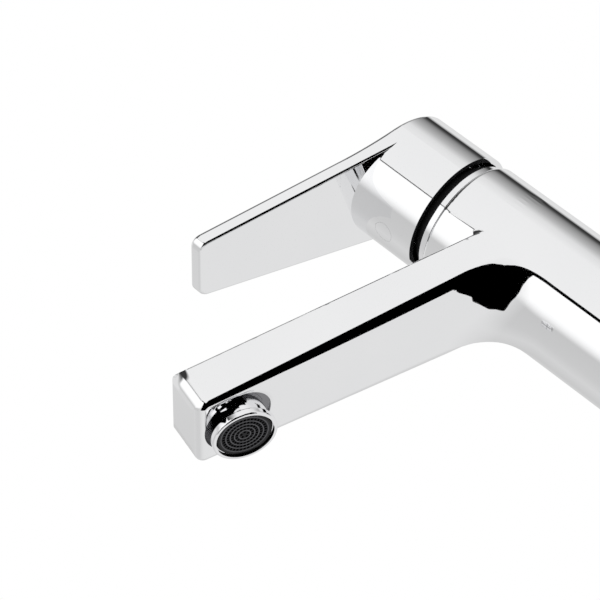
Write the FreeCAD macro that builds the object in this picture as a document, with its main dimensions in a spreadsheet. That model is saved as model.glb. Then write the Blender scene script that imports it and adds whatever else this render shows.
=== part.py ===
"""Single-lever basin mixer: cast body with a flat bar spout, lever handle, ceramic disc cartridge,
tilted aerator and the clamp that holds the body on a deck. Millimetres, +Z up, deck plane at z = 0,
origin on the column's axis, spout towards -Y."""
import FreeCAD, Part
import math
import os
import re
import Sketcher
from FreeCAD import Placement, Rotation, Vector

doc = FreeCAD.newDocument("basin_mixer")
sheet = doc.addObject("Spreadsheet::Sheet", "Sizes")

SIZES = [
    # column and spout casting
    ("column_diameter", 47.0),
    ("column_height", 95.0),
    ("column_top_round", 2.0),
    ("spout_rise", 13.7),
    ("spout_drop", 19.5),
    ("spout_length", 131.2),
    ("spout_thickness", 17.0),
    ("spout_tip_width", 29.4),
    ("spout_root_width", 40.0),
    ("spout_root_inset", 6.0),
    ("spout_tip_lower_round", 2.6),
    ("spout_root_lower_round", 8.0),
    ("spout_front_round", 3.0),
    ("spout_top_edge_width", 1.0),
    ("spout_top_edge_radius", 1.6),
    ("spout_blend", 27.0),
    ("channel_diameter", 8.0),
    # aerator and its socket in the spout
    ("aerator_setback", 7.47),
    ("aerator_hang", 7.15),
    ("aerator_tilt", 24.0),
    ("aerator_neck_diameter", 19.8),
    ("aerator_flange_step", 1.3),
    ("aerator_flange_height", 2.6),
    ("aerator_flange_round", 0.6),
    ("aerator_flat_depth", 0.6),
    ("aerator_flat_turn", 23.0),
    ("aerator_flat_height", 3.4),
    ("aerator_mouth_depth", 1.6),
    ("aerator_wall", 1.2),
    ("recess_gap", 1.1),
    ("recess_floor", 10.6),
    ("socket_depth", 8.0),
    ("aerator_seal_height", 1.5),
    ("insert_recess", 0.8),
    ("insert_gap", 0.6),
    ("insert_height", 4.6),
    ("grille_slot", 0.95),
    ("regulator_height", 3.0),
    ("strainer_height", 4.5),
    # valve chamber in the column
    ("chamber_depth", 37.0),
    ("gallery_height", 20.0),
    ("gallery_gap", 2.1),
    ("nut_depth", 7.0),
    ("nut_step", 2.6),
    ("nut_hex_step", 3.0),
    ("nut_hex_height", 2.5),
    # cartridge
    ("cartridge_diameter", 34.8),
    ("cartridge_wall", 1.8),
    ("cartridge_neck_step", 5.0),
    ("cartridge_neck_wall", 1.35),
    ("cartridge_neck_rise", 4.6),
    ("cartridge_base_height", 4.0),
    ("peg_diameter", 3.0),
    ("peg_length", 2.0),
    ("peg_setback", 9.0),
    ("disc_height", 4.0),
    ("disc_travel", 2.4),
    ("carrier_height", 5.0),
    ("carrier_boss_diameter", 11.0),
    ("carrier_boss_height", 4.0),
    ("turret_flange_height", 4.0),
    ("turret_rise", 3.4),
    ("pin_diameter", 3.0),
    ("pin_inset", 1.0),
    ("stem_width", 8.0),
    ("stem_lean", 12.5),
    ("stem_above_pin", 34.0),
    ("stem_ball_drop", 10.0),
    ("stem_ball_diameter", 6.4),
    ("port_spacing", 15.0),
    ("port_setback", 3.0),
    ("outlet_setback", 10.2),
    ("port_diameter", 6.0),
    ("port_seal_width", 1.6),
    ("o_ring_section", 2.0),
    ("limit_ring_width", 3.5),
    ("limit_ring_height", 1.8),
    # trim ring and handle
    ("trim_ring_step", 1.5),
    ("trim_ring_height", 2.0),
    ("trim_ring_wall", 1.6),
    ("dome_width", 6.5),
    ("rim_gap", 5.0),
    ("pivot_below_rim", 14.0),
    ("cap_overhang", 0.2),
    ("cap_wall", 1.9),
    ("cap_height", 28.5),
    ("cap_cavity_height", 21.5),
    ("lever_rise", 13.7),
    ("lever_reach", 82.0),
    ("lever_tip_width", 26.0),
    ("lever_thickness", 5.0),
    ("lever_underside_height", 22.3),
    ("lever_bend", 180.0),
    ("lever_tip_round", 4.0),
    ("lever_edge_round", 1.2),
    ("boss_wall", 2.1),
    ("boss_start", 22.5),
    ("boss_length", 16.0),
    ("screw_height", 12.5),
    ("screw_diameter", 5.0),
    ("screw_length", 7.0),
    ("screw_boss_diameter", 10.0),
    ("cover_diameter", 7.6),
    ("cover_depth", 3.0),
    ("screw_key", 2.5),
    # deck fixing
    ("base_cavity_step", 4.5),
    ("base_cavity_height", 14.0),
    ("inlet_thread_radius", 4.6),
    ("inlet_thread_depth", 12.0),
    ("base_seal_step", 3.3),
    ("base_seal_section", 2.0),
    ("stud_diameter", 8.0),
    ("stud_offset", 11.5),
    ("stud_hold", 12.0),
    ("stud_length", 76.0),
    ("deck_thickness", 20.0),
    ("clamp_radius", 25.0),
    ("clamp_slot_width", 30.0),
    ("clamp_slot_end", 4.0),
    ("clamp_washer_height", 3.0),
    ("clamp_plate_height", 2.5),
    ("fixing_nut_hex", 13.0),
    ("fixing_nut_height", 16.0),
    # clearances
    ("thread_gap", 0.05),
    ("slide_gap", 0.1),
    ("run_gap", 0.05),
    ("disc_gap", 0.2),
    ("loose_gap", 0.3),
]

DERIVED = [
    ("column_radius", "column_diameter / 2"),
    ("spout_top_height", "column_height - spout_drop"),
    ("aerator_reach", "spout_length * cos(spout_rise) - aerator_setback"),
    ("aerator_height", "spout_top_height + aerator_reach * tan(spout_rise)"
     " - spout_thickness / cos(spout_rise) - aerator_hang"),
    ("neck_radius", "aerator_neck_diameter / 2"),
    ("flange_radius", "neck_radius + aerator_flange_step"),
    ("mouth_radius", "neck_radius + slide_gap"),
    ("aerator_bore", "neck_radius - aerator_wall"),
    ("recess_radius", "flange_radius + recess_gap"),
    ("insert_radius", "mouth_radius - insert_gap"),
    ("insert_top", "insert_recess + insert_height"),
    ("regulator_top", "insert_top + regulator_height"),
    ("housing_top", "recess_floor + socket_depth - aerator_seal_height"),
    ("cartridge_radius", "cartridge_diameter / 2"),
    ("cartridge_inside", "cartridge_radius - cartridge_wall"),
    ("cartridge_neck", "cartridge_radius - cartridge_neck_step"),
    ("cartridge_neck_top", "column_height + cartridge_neck_rise"),
    ("chamber_floor", "column_height - chamber_depth"),
    ("gallery_radius", "cartridge_radius + gallery_gap"),
    ("gallery_top", "chamber_floor + gallery_height"),
    ("nut_seat", "column_height - nut_depth"),
    ("nut_radius", "cartridge_radius + nut_step"),
    ("disc_floor", "chamber_floor + cartridge_base_height"),
    ("disc_face", "disc_floor + disc_height"),
    ("carrier_floor", "disc_face + disc_height"),
    ("carrier_top", "carrier_floor + carrier_height"),
    ("fixed_disc_radius", "cartridge_inside - disc_gap"),
    ("moving_disc_radius", "fixed_disc_radius - disc_travel"),
    ("turret_radius", "cartridge_neck - cartridge_neck_wall - run_gap"),
    ("turret_flange_radius", "cartridge_inside - disc_gap * 3"),
    ("pin_length", "(turret_radius - pin_inset) * 2"),
    ("turret_floor", "carrier_top + slide_gap"),
    ("turret_flange_top", "turret_floor + turret_flange_height"),
    ("turret_top", "column_height + turret_rise"),
    ("housing_ceiling", "turret_flange_top + slide_gap"),
    ("ball_shift", "stem_ball_drop * sin(stem_lean)"),
    ("rim_height", "column_height + rim_gap"),
    ("pivot_height", "rim_height - pivot_below_rim"),
    ("trim_ring_radius", "column_radius - trim_ring_step"),
    ("dome_radius", "sqrt(trim_ring_radius ^ 2 + (column_height + trim_ring_height - pivot_height) ^ 2)"),
    ("cap_radius", "column_radius + cap_overhang"),
    ("cap_top", "rim_height + cap_height"),
    ("lever_tan", "tan(lever_rise)"),
    ("lever_half_tip", "lever_tip_width / 2"),
    ("lever_span", "sqrt(lever_half_tip ^ 2 + lever_reach ^ 2)"),
    ("lever_taper", "asin(cap_radius / lever_span) - atan(lever_half_tip / lever_reach)"),
    ("lever_underside", "rim_height + lever_underside_height"),
    ("lever_top", "lever_underside + lever_thickness / cos(lever_rise)"),
    ("lever_bend_start", "(lever_top - cap_top) / lever_tan + lever_bend * tan(lever_rise / 2)"),
    ("boss_diameter", "stem_width * sqrt(2) + boss_wall * 2"),
    ("screw_above_pivot", "pivot_below_rim + screw_height"),
    ("screw_tip", "screw_above_pivot * tan(stem_lean) + stem_width / 2 / cos(stem_lean)"
     " + screw_diameter / 2 * tan(stem_lean) + thread_gap"),
    ("base_cavity_radius", "column_radius - base_cavity_step"),
    ("base_seal_inside", "column_radius - base_seal_step"),
    ("stud_top", "base_cavity_height + stud_hold"),
    ("clamp_top", "-deck_thickness"),
    ("clamp_middle", "clamp_top - clamp_washer_height"),
    ("clamp_bottom", "clamp_middle - clamp_plate_height"),
]

for row, (alias, number) in enumerate(SIZES, 1):
    sheet.set("A%d" % row, alias.replace("_", " "))
    sheet.set("B%d" % row, str(number))
    sheet.setAlias("B%d" % row, alias)
for row, (alias, formula) in enumerate(DERIVED, len(SIZES) + 2):
    sheet.set("A%d" % row, alias.replace("_", " "))
    sheet.set("B%d" % row, "=" + formula)
    sheet.setAlias("B%d" % row, alias)
doc.recompute()

# rings of square holes in the outlet grille: ring radius as a share of the insert's, and the count
GRILLE_RINGS = [("0.77", 36), ("0.61", 30), ("0.45", 22), ("0.3", 14), ("0.13", 5)]

NAMES = [alias for alias, _ in SIZES + DERIVED]
sub_parts = []


def size(text):
    """The number that an expression in the sheet's names stands for."""
    number = sheet.evalExpression(str(text))
    return float(getattr(number, "Value", number))


def linked(text):
    """The same expression with each name pointed at the sheet."""
    any_name = "|".join(r"\b%s\b" % name for name in NAMES)
    return re.sub(any_name, lambda word: "Sizes." + word.group(0), str(text))


def bind(thing, **expressions):
    for prop, text in expressions.items():
        thing.setExpression(prop.replace("__", "."), linked(text))
    return thing


def place(thing, x=0, y=0, z=0, turn=None):
    """Place a sub-part at expressions x, y, z, turned by turn = (axis, degrees)."""
    if turn:
        thing.Placement = Placement(Vector(), Rotation(Vector(*turn[0]), size(turn[1])))
        bind(thing, Placement__Rotation__Angle=turn[1])
    bind(thing, Placement__Base__x=x, Placement__Base__y=y, Placement__Base__z=z)
    return thing


def keep(thing, label):
    thing.Label = label
    sub_parts.append(thing)
    return thing


def new_body(label):
    return keep(doc.addObject("PartDesign::Body", "body_" + label), label)


def sketch_on(body, role, shift=None, tilt=None, spin=None):
    """A sketch on one of the body's origin planes, shifted along its own axes and then either tilted
    about its local X or spun about its normal."""
    sketch = body.newObject("Sketcher::SketchObject", "outline")
    plane = [item for item in body.Origin.OriginFeatures if item.Role == role][0]
    sketch.AttachmentSupport = (plane, [""])
    sketch.MapMode = "FlatFace"
    if tilt or spin:
        axis = Vector(1, 0, 0) if tilt else Vector(0, 0, 1)
        sketch.AttachmentOffset = Placement(Vector(), Rotation(axis, size(tilt or spin)))
        bind(sketch, AttachmentOffset__Rotation__Angle=tilt or spin)
    if shift:
        for name, text in zip("xyz", shift):
            sketch.setExpression("AttachmentOffset.Base." + name, linked(text))
    return sketch


def fix(sketch, geometry, point, x, y):
    """Hold a point of the sketch at expressions x, y; None leaves that coordinate free."""
    for kind, axis, text in (("DistanceX", -2, x), ("DistanceY", -1, y)):
        if text is None:
            continue
        if str(text) == "0":
            sketch.addConstraint(Sketcher.Constraint("PointOnObject", geometry, point, axis))
            continue
        number = sketch.addConstraint(Sketcher.Constraint(kind, -1, 1, geometry, point, size(text)))
        sketch.setExpression("Constraints[%d]" % number, linked(text))


def circle(sketch, x, y, diameter):
    middle = Vector(size(x), size(y), 0)
    index = sketch.addGeometry(Part.Circle(middle, Vector(0, 0, 1), size(diameter) / 2))
    fix(sketch, index, 3, x, y)
    number = sketch.addConstraint(Sketcher.Constraint("Diameter", index, size(diameter)))
    sketch.setExpression("Constraints[%d]" % number, linked(diameter))


def outline(sketch, corners):
    """A closed outline through corners (x, y). A corner written (x, None, (cx, cy), side) ends an arc about
    cx, cy that starts at the corner before it and stays above the centre (side 1) or below it (side -1)."""
    points = []
    for corner in corners:
        x = size(corner[0])
        if corner[1] is None:
            centre = Vector(size(corner[2][0]), size(corner[2][1]), 0)
            reach = (points[-1] - centre).Length
            y = centre.y + corner[3] * math.sqrt(reach ** 2 - (x - centre.x) ** 2)
        else:
            y = size(corner[1])
        points.append(Vector(x, y, 0))
    edges = []
    for index, corner in enumerate(corners):
        start, end = points[index - 1], points[index]
        if len(corner) == 4:
            centre = Vector(size(corner[2][0]), size(corner[2][1]), 0)
            angles = [math.atan2(spot.y - centre.y, spot.x - centre.x) for spot in (start, end)]
            if abs(angles[1] - angles[0]) > math.pi:
                angles[1] += math.copysign(2 * math.pi, angles[0] - angles[1])
            ring = Part.Circle(centre, Vector(0, 0, 1), (start - centre).Length)
            edges.append((sketch.addGeometry(Part.ArcOfCircle(ring, min(angles), max(angles))),
                          angles[0] < angles[1]))
            fix(sketch, edges[-1][0], 3, *corner[2])
        else:
            edges.append((sketch.addGeometry(Part.LineSegment(start, end)), True))
    for index, corner in enumerate(corners):
        this_edge, forward = edges[index]
        next_edge, next_forward = edges[(index + 1) % len(edges)]
        end_point = 2 if forward else 1
        next_point = 1 if next_forward else 2
        sketch.addConstraint(Sketcher.Constraint("Coincident", this_edge, end_point, next_edge, next_point))
        fix(sketch, this_edge, end_point, corner[0], corner[1])


def rectangle(sketch, left, bottom, right, top):
    outline(sketch, [(left, bottom), (right, bottom), (right, top), (left, top)])


def pad(body, sketch, length, reverse=False):
    feature = body.newObject("PartDesign::Pad", "pad")
    feature.Profile = sketch
    feature.Reversed = reverse
    return bind(feature, Length=length)


def pocket(body, sketch, length=None, reverse=False):
    """A pocket of a stated length, or through everything in both directions."""
    feature = body.newObject("PartDesign::Pocket", "pocket")
    feature.Profile = sketch
    feature.Reversed = reverse
    if length is None:
        feature.Type = "ThroughAll"
        feature.SideType = "Symmetric"
        return feature
    return bind(feature, Length=length)


def turned(body, sketch, cut=False):
    """Turn a sketch on the XZ plane a full turn about the body's Z axis."""
    feature = body.newObject("PartDesign::Groove" if cut else "PartDesign::Revolution", "turn")
    feature.Profile = sketch
    feature.ReferenceAxis = (sketch, ["V_Axis"])
    feature.Angle = 360
    return feature


def turned_part(label, corners):
    body = new_body(label)
    sketch = sketch_on(body, "XZ_Plane")
    outline(sketch, corners)
    turned(body, sketch)
    return body


def edges_of(feature, test):
    """Names of the edges of a feature whose sampled points all pass a test."""
    doc.recompute()
    names = []
    for number, edge in enumerate(feature.Shape.Edges, 1):
        spots = [edge.valueAt(edge.FirstParameter + (edge.LastParameter - edge.FirstParameter) * step / 6)
                 for step in range(7)]
        if all(test(spot) for spot in spots):
            names.append("Edge%d" % number)
    return names


def rounded(body, radius, test):
    """Round every edge of the body's last feature that passes the test."""
    base = body.Tip
    names = edges_of(base, test)
    if not names:
        raise ValueError("no edge to round on " + body.Label)
    feature = body.newObject("PartDesign::Fillet", "round")
    feature.Base = (base, names)
    return bind(feature, Radius=radius)


def near(first, second, reach=0.02):
    return abs(first - second) < reach


def make_faucet_body():
    """Column and spout in one casting: valve chamber on top, aerator socket under the spout's tip,
    hose inlets and stud thread in the hollow base."""
    body = new_body("faucet_body")
    sketch = sketch_on(body, "XY_Plane")
    circle(sketch, 0, 0, "column_diameter")
    pad(body, sketch, "column_height")

    def section(along, width, lower_round):
        face = sketch_on(body, "XZ_Plane", tilt="-spout_rise",
                         shift=(0, "spout_top_height + (%s) * sin(spout_rise)" % along,
                                "(%s) * cos(spout_rise)" % along))
        spout_section(face, "%s / 2" % width, lower_round)
        return face

    root = section("spout_root_inset", "spout_root_width", "spout_root_lower_round")
    tip = section("spout_length", "spout_tip_width", "spout_tip_lower_round")
    loft = body.newObject("PartDesign::AdditiveLoft", "spout")
    loft.Profile = root
    loft.Sections = [tip]
    loft.Ruled = True

    rise = math.radians(size("spout_rise"))
    radius = size("column_radius")
    top_height = size("spout_top_height")

    def above_top(spot):
        return (spot.z - top_height) * math.cos(rise) + spot.y * math.sin(rise)

    def along(spot):
        return (spot.z - top_height) * math.sin(rise) - spot.y * math.cos(rise)

    def on_column(spot):
        return near(math.hypot(spot.x, spot.y), radius) and 1 < spot.z < size("column_height") - 1

    rounded(body, "spout_front_round", lambda spot: near(along(spot), size("spout_length"))
            and near(abs(spot.x), size("spout_tip_width") / 2))
    rounded(body, "spout_blend", lambda spot: on_column(spot) and spot.y < -1
            and above_top(spot) < 0.02 - size("spout_top_edge_width"))
    rounded(body, "column_top_round", lambda spot: near(spot.z, size("column_height")))

    chamber = sketch_on(body, "XZ_Plane")
    bore = "cartridge_radius + slide_gap"
    thread = "nut_radius + thread_gap"
    above = "column_height + 1"
    outline(chamber, [(0, above), (0, "chamber_floor"), ("gallery_radius", "chamber_floor"),
                      ("gallery_radius", "gallery_top"), (bore, "gallery_top"), (bore, "nut_seat"),
                      (thread, "nut_seat"), (thread, above)])
    turned(body, chamber, cut=True)

    base = sketch_on(body, "XZ_Plane")
    seal_out = "base_seal_inside + base_seal_section"
    seal_top = "base_seal_section"
    outline(base, [(0, -1), (seal_out, -1), (seal_out, seal_top), ("base_seal_inside", seal_top),
                   ("base_seal_inside", -0.5), ("base_cavity_radius", -0.5),
                   ("base_cavity_radius", "base_cavity_height"), (0, "base_cavity_height")])
    turned(body, base, cut=True)

    inlets = sketch_on(body, "XY_Plane", shift=(0, 0, "base_cavity_height"))
    for side in ("-port_spacing / 2", "port_spacing / 2"):
        circle(inlets, side, "-port_setback", "inlet_thread_radius * 2")
    pocket(body, inlets, "inlet_thread_depth", reverse=True)
    risers = sketch_on(body, "XY_Plane", shift=(0, 0, "base_cavity_height"))
    for side in ("-port_spacing / 2", "port_spacing / 2"):
        circle(risers, side, "-port_setback", "port_diameter")
    pocket(body, risers, "chamber_floor - base_cavity_height", reverse=True)
    stud = sketch_on(body, "XY_Plane", shift=(0, 0, "base_cavity_height"))
    circle(stud, 0, "stud_offset", "stud_diameter + thread_gap * 2")
    pocket(body, stud, "stud_top - base_cavity_height", reverse=True)

    pegs = sketch_on(body, "XY_Plane", shift=(0, 0, "chamber_floor"))
    for side in ("-port_spacing / 2", "port_spacing / 2"):
        circle(pegs, side, "peg_setback", "peg_diameter + slide_gap * 2")
    pocket(body, pegs, "peg_length + slide_gap")

    for diameter, start, depth in (("recess_radius * 2", "-recess_floor", "recess_floor * 2"),
                                   ("(neck_radius + thread_gap) * 2", "recess_floor", "socket_depth")):
        face = sketch_on(body, "XY_Plane", tilt="-aerator_tilt",
                         shift=(0, "-aerator_reach + (%s) * sin(aerator_tilt)" % start,
                                "aerator_height + (%s) * cos(aerator_tilt)" % start))
        circle(face, 0, 0, diameter)
        pocket(body, face, depth, reverse=True)
    inset = "gallery_radius * 0.9"
    middle = "spout_top_height - spout_thickness / 2 / cos(spout_rise)"
    channel = sketch_on(body, "XZ_Plane", tilt="-spout_rise",
                        shift=(0, "%s + %s * tan(spout_rise)" % (middle, inset), inset))
    circle(channel, 0, 0, "channel_diameter")
    pocket(body, channel, "(aerator_reach - gallery_radius) / cos(spout_rise)", reverse=True)


def spout_section(sketch, half, lower_round):
    """The spout's section: flat top with broken edges, flat sides, lower corners rounded."""
    across, deep = size(half), size("spout_thickness")
    edge, crown = size("spout_top_edge_width"), size("spout_top_edge_radius")
    low = size(lower_round)
    turn = math.acos(edge / math.sqrt(2) / crown)
    back = Vector(across - edge / 2, -edge / 2, 0) - Vector(1, 1, 0).normalize() * crown * math.sin(turn)
    spread = math.pi / 2 - turn

    def arc(middle, radius, start, end):
        return Part.ArcOfCircle(Part.Circle(middle, Vector(0, 0, 1), radius), start, end)

    quarter = math.pi / 4
    mirror = Vector(-back.x, back.y, 0)
    corner_height = -deep + low
    lines = [Part.LineSegment(Vector(edge - across, 0, 0), Vector(across - edge, 0, 0)),
             arc(back, crown, quarter - spread, quarter + spread),
             Part.LineSegment(Vector(across, -edge, 0), Vector(across, corner_height, 0)),
             arc(Vector(across - low, corner_height, 0), low, -math.pi / 2, 0),
             Part.LineSegment(Vector(across - low, -deep, 0), Vector(low - across, -deep, 0)),
             arc(Vector(low - across, corner_height, 0), low, math.pi, math.pi * 1.5),
             Part.LineSegment(Vector(-across, corner_height, 0), Vector(-across, -edge, 0)),
             arc(mirror, crown, 3 * quarter - spread, 3 * quarter + spread)]
    added = [sketch.addGeometry(line) for line in lines]
    top, right_edge, right, right_low, under, left_low, left, left_edge = added
    for first, first_end, second, second_end in ((top, 2, right_edge, 2), (right_edge, 1, right, 1),
                                                 (right, 2, right_low, 2), (right_low, 1, under, 1),
                                                 (under, 2, left_low, 2), (left_low, 1, left, 1),
                                                 (left, 2, left_edge, 2), (left_edge, 1, top, 1)):
        sketch.addConstraint(Sketcher.Constraint("Coincident", first, first_end, second, second_end))
    side = "-spout_thickness + " + lower_round
    flat = "%s - %s" % (half, lower_round)
    fix(sketch, top, 1, "-(%s - spout_top_edge_width)" % half, "0")
    fix(sketch, top, 2, "%s - spout_top_edge_width" % half, "0")
    fix(sketch, right, 1, half, "-spout_top_edge_width")
    fix(sketch, left, 2, "-(%s)" % half, "-spout_top_edge_width")
    fix(sketch, right, 2, half, side)
    fix(sketch, left, 1, "-(%s)" % half, side)
    fix(sketch, right_low, 3, flat, side)
    fix(sketch, left_low, 3, "-(%s)" % flat, side)
    fix(sketch, under, 1, flat, None)
    fix(sketch, under, 2, "-(%s)" % flat, None)
    for edge_arc in (right_edge, left_edge):
        number = sketch.addConstraint(Sketcher.Constraint("Radius", edge_arc, crown))
        sketch.setExpression("Constraints[%d]" % number, linked("spout_top_edge_radius"))


def hexagon(sketch, across_flats):
    half = "(%s) / 2" % across_flats
    low = "(%s) / 4 / cos(30)" % across_flats
    tip = "(%s) / 2 / cos(30)" % across_flats
    outline(sketch, [(half, "-" + low), (half, low), ("0", tip), ("-" + half, low), ("-" + half, "-" + low),
                     ("0", "-" + tip)])


def make_lever_handle():
    """Cap and lever plate in one casting: hollow cap, inclined boss with the stem's square socket, and a
    cross boss for the set screw behind its cover."""
    body = new_body("lever_handle")
    plan = sketch_on(body, "XY_Plane", shift=(0, 0, "rim_height"))
    root_x = "cap_radius * cos(lever_taper)"
    root_y = "-cap_radius * sin(lever_taper)"
    middle = ("0", "0")
    outline(plan, [("-lever_half_tip", "-lever_reach"), ("lever_half_tip", "-lever_reach"),
                   (root_x, root_y), ("0", None, middle, 1), ("-" + root_x, None, middle, -1)])
    pad(body, plan, "lever_reach")
    rounded(body, "lever_tip_round", lambda spot: near(spot.y, -size("lever_reach"))
            and near(abs(spot.x), size("lever_half_tip")))

    front, back, far = "-lever_reach * 1.2", "cap_radius * 2", "lever_reach * 4"
    below = sketch_on(body, "YZ_Plane")
    outline(below, [(front, "lever_underside - lever_tan * (%s)" % front),
                    (front, "rim_height / 2"), (back, "rim_height / 2"),
                    (back, "lever_underside - lever_tan * " + back)])
    pocket(body, below)
    lever_tan = size("lever_tan")
    underside = size("lever_underside")
    rounded(body, "lever_edge_round", lambda spot: near(spot.z, underside - lever_tan * spot.y))

    cap = sketch_on(body, "XZ_Plane")
    above_cap = "cap_top + lever_thickness"
    outline(cap, [("0", "rim_height"), ("cap_radius", "rim_height"), ("cap_radius", above_cap),
                  ("0", above_cap)])
    turned(body, cap)

    above = sketch_on(body, "YZ_Plane")
    bend_end = "lever_bend_start - lever_bend * sin(lever_rise)"
    outline(above, [(back, "cap_top"), ("lever_bend_start", "cap_top"),
                    (bend_end, None, ("lever_bend_start", "cap_top + lever_bend"), -1),
                    (front, "lever_top - lever_tan * (%s)" % front), (front, far), (back, far)])
    pocket(body, above)

    bend_y = size(bend_end)
    bend_start = size("lever_bend_start")

    def on_top(spot):
        if spot.y > bend_start:
            return near(spot.z, size("cap_top"))
        if spot.y < bend_y:
            return near(spot.z, size("lever_top") - lever_tan * spot.y)
        sink = math.sqrt(size("lever_bend") ** 2 - (spot.y - bend_start) ** 2)
        return near(spot.z, size("cap_top") + size("lever_bend") - sink)

    def on_rim(spot):
        return math.hypot(spot.x, spot.y) > size("cap_radius") - 0.5

    rounded(body, "lever_edge_round", lambda spot: on_top(spot) and on_rim(spot))

    hollow = sketch_on(body, "XZ_Plane")
    inner = "cap_radius - cap_wall"
    roof = "rim_height + cap_cavity_height"
    outline(hollow, [("0", "rim_height - 1"), (inner, "rim_height - 1"), (inner, roof), ("0", roof)])
    turned(body, hollow, cut=True)

    def along_stem(start):
        forward = "-(%s) * sin(stem_lean)" % start
        return sketch_on(body, "XY_Plane", tilt="stem_lean",
                         shift=(0, forward, "pivot_height + (%s) * cos(stem_lean)" % start))

    boss = along_stem("boss_start")
    circle(boss, 0, 0, "boss_diameter")
    pad(body, boss, "boss_length")
    cross = sketch_on(body, "XZ_Plane", shift=(0, 0, "cap_radius - cap_wall - 0.2"))
    circle(cross, 0, "rim_height + screw_height", "screw_boss_diameter")
    pad(body, cross, "cap_radius - cap_wall - screw_tip", reverse=True)
    socket = along_stem("boss_start - 1")
    wide = "stem_width / 2 + thread_gap"
    rectangle(socket, "-(%s)" % wide, "-(%s)" % wide, wide, wide)
    pocket(body, socket, "stem_above_pin - boss_start + 1 + loose_gap", reverse=True)
    to_stem = "cap_radius + 1 - screw_tip + stem_width / 4"
    for diameter, depth in (("screw_diameter + thread_gap * 2", to_stem),
                            ("cover_diameter + thread_gap * 2", "1 + cover_depth")):
        hole = sketch_on(body, "XZ_Plane", shift=(0, 0, "cap_radius + 1"))
        circle(hole, 0, "rim_height + screw_height", diameter)
        pocket(body, hole, depth)


def make_screw_and_cover():
    """Set screw with a hexagon key socket, and the button that closes its hole flush with the cap."""
    screw = new_body("grub_screw")
    face = sketch_on(screw, "XZ_Plane", shift=(0, 0, "screw_tip"))
    circle(face, 0, "rim_height + screw_height", "screw_diameter")
    pad(screw, face, "screw_length")
    key = sketch_on(screw, "XZ_Plane", shift=(0, "rim_height + screw_height", "screw_tip + screw_length"))
    hexagon(key, "screw_key")
    pocket(screw, key, "screw_key")

    button = doc.addObject("Part::Cylinder", "button")
    bind(button, Radius="cover_diameter / 2", Height="cover_depth + 2")
    place(button, 0, "-(cap_radius - cover_depth)", "rim_height + screw_height", ((1, 0, 0), "90"))
    skin = doc.addObject("Part::Cylinder", "button_skin")
    bind(skin, Radius="cap_radius", Height="cap_height")
    place(skin, z="rim_height")
    cover = doc.addObject("Part::Common", "cover")
    cover.Base = button
    cover.Tool = skin
    keep(cover, "screw_cover")


def make_trim_ring():
    """Chromed ring on the column's top; its dome follows the swing of the cap about the stem's pivot."""
    pivot = ("0", "pivot_height")
    outer = "trim_ring_radius"
    inner = "nut_radius + loose_gap"
    hole = "trim_ring_radius - dome_width"
    thin = "(dome_radius - trim_ring_wall)"
    turned_part("dome_ring", [(inner, "column_height"), (outer, "column_height"),
                              (outer, "pivot_height + sqrt(dome_radius ^ 2 - (%s) ^ 2)" % outer),
                              (hole, None, pivot, 1),
                              (hole, "pivot_height + sqrt(%s ^ 2 - (%s) ^ 2)" % (thin, hole)),
                              (inner, None, pivot, 1)])


def make_retaining_nut():
    """Brass nut that holds the cartridge down: threaded collar with a hexagon on top."""
    body = new_body("retaining_nut")
    collar = sketch_on(body, "XY_Plane", shift=(0, 0, "nut_seat"))
    circle(collar, 0, 0, "nut_radius * 2")
    pad(body, collar, "column_height - nut_seat")
    top = sketch_on(body, "XY_Plane", shift=(0, 0, "column_height"))
    hexagon(top, "(nut_radius - nut_hex_step) * 2")
    pad(body, top, "nut_hex_height")
    hole = sketch_on(body, "XY_Plane", shift=(0, 0, "column_height"))
    circle(hole, 0, 0, "(cartridge_neck + slide_gap) * 2")
    pocket(body, hole)


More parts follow.
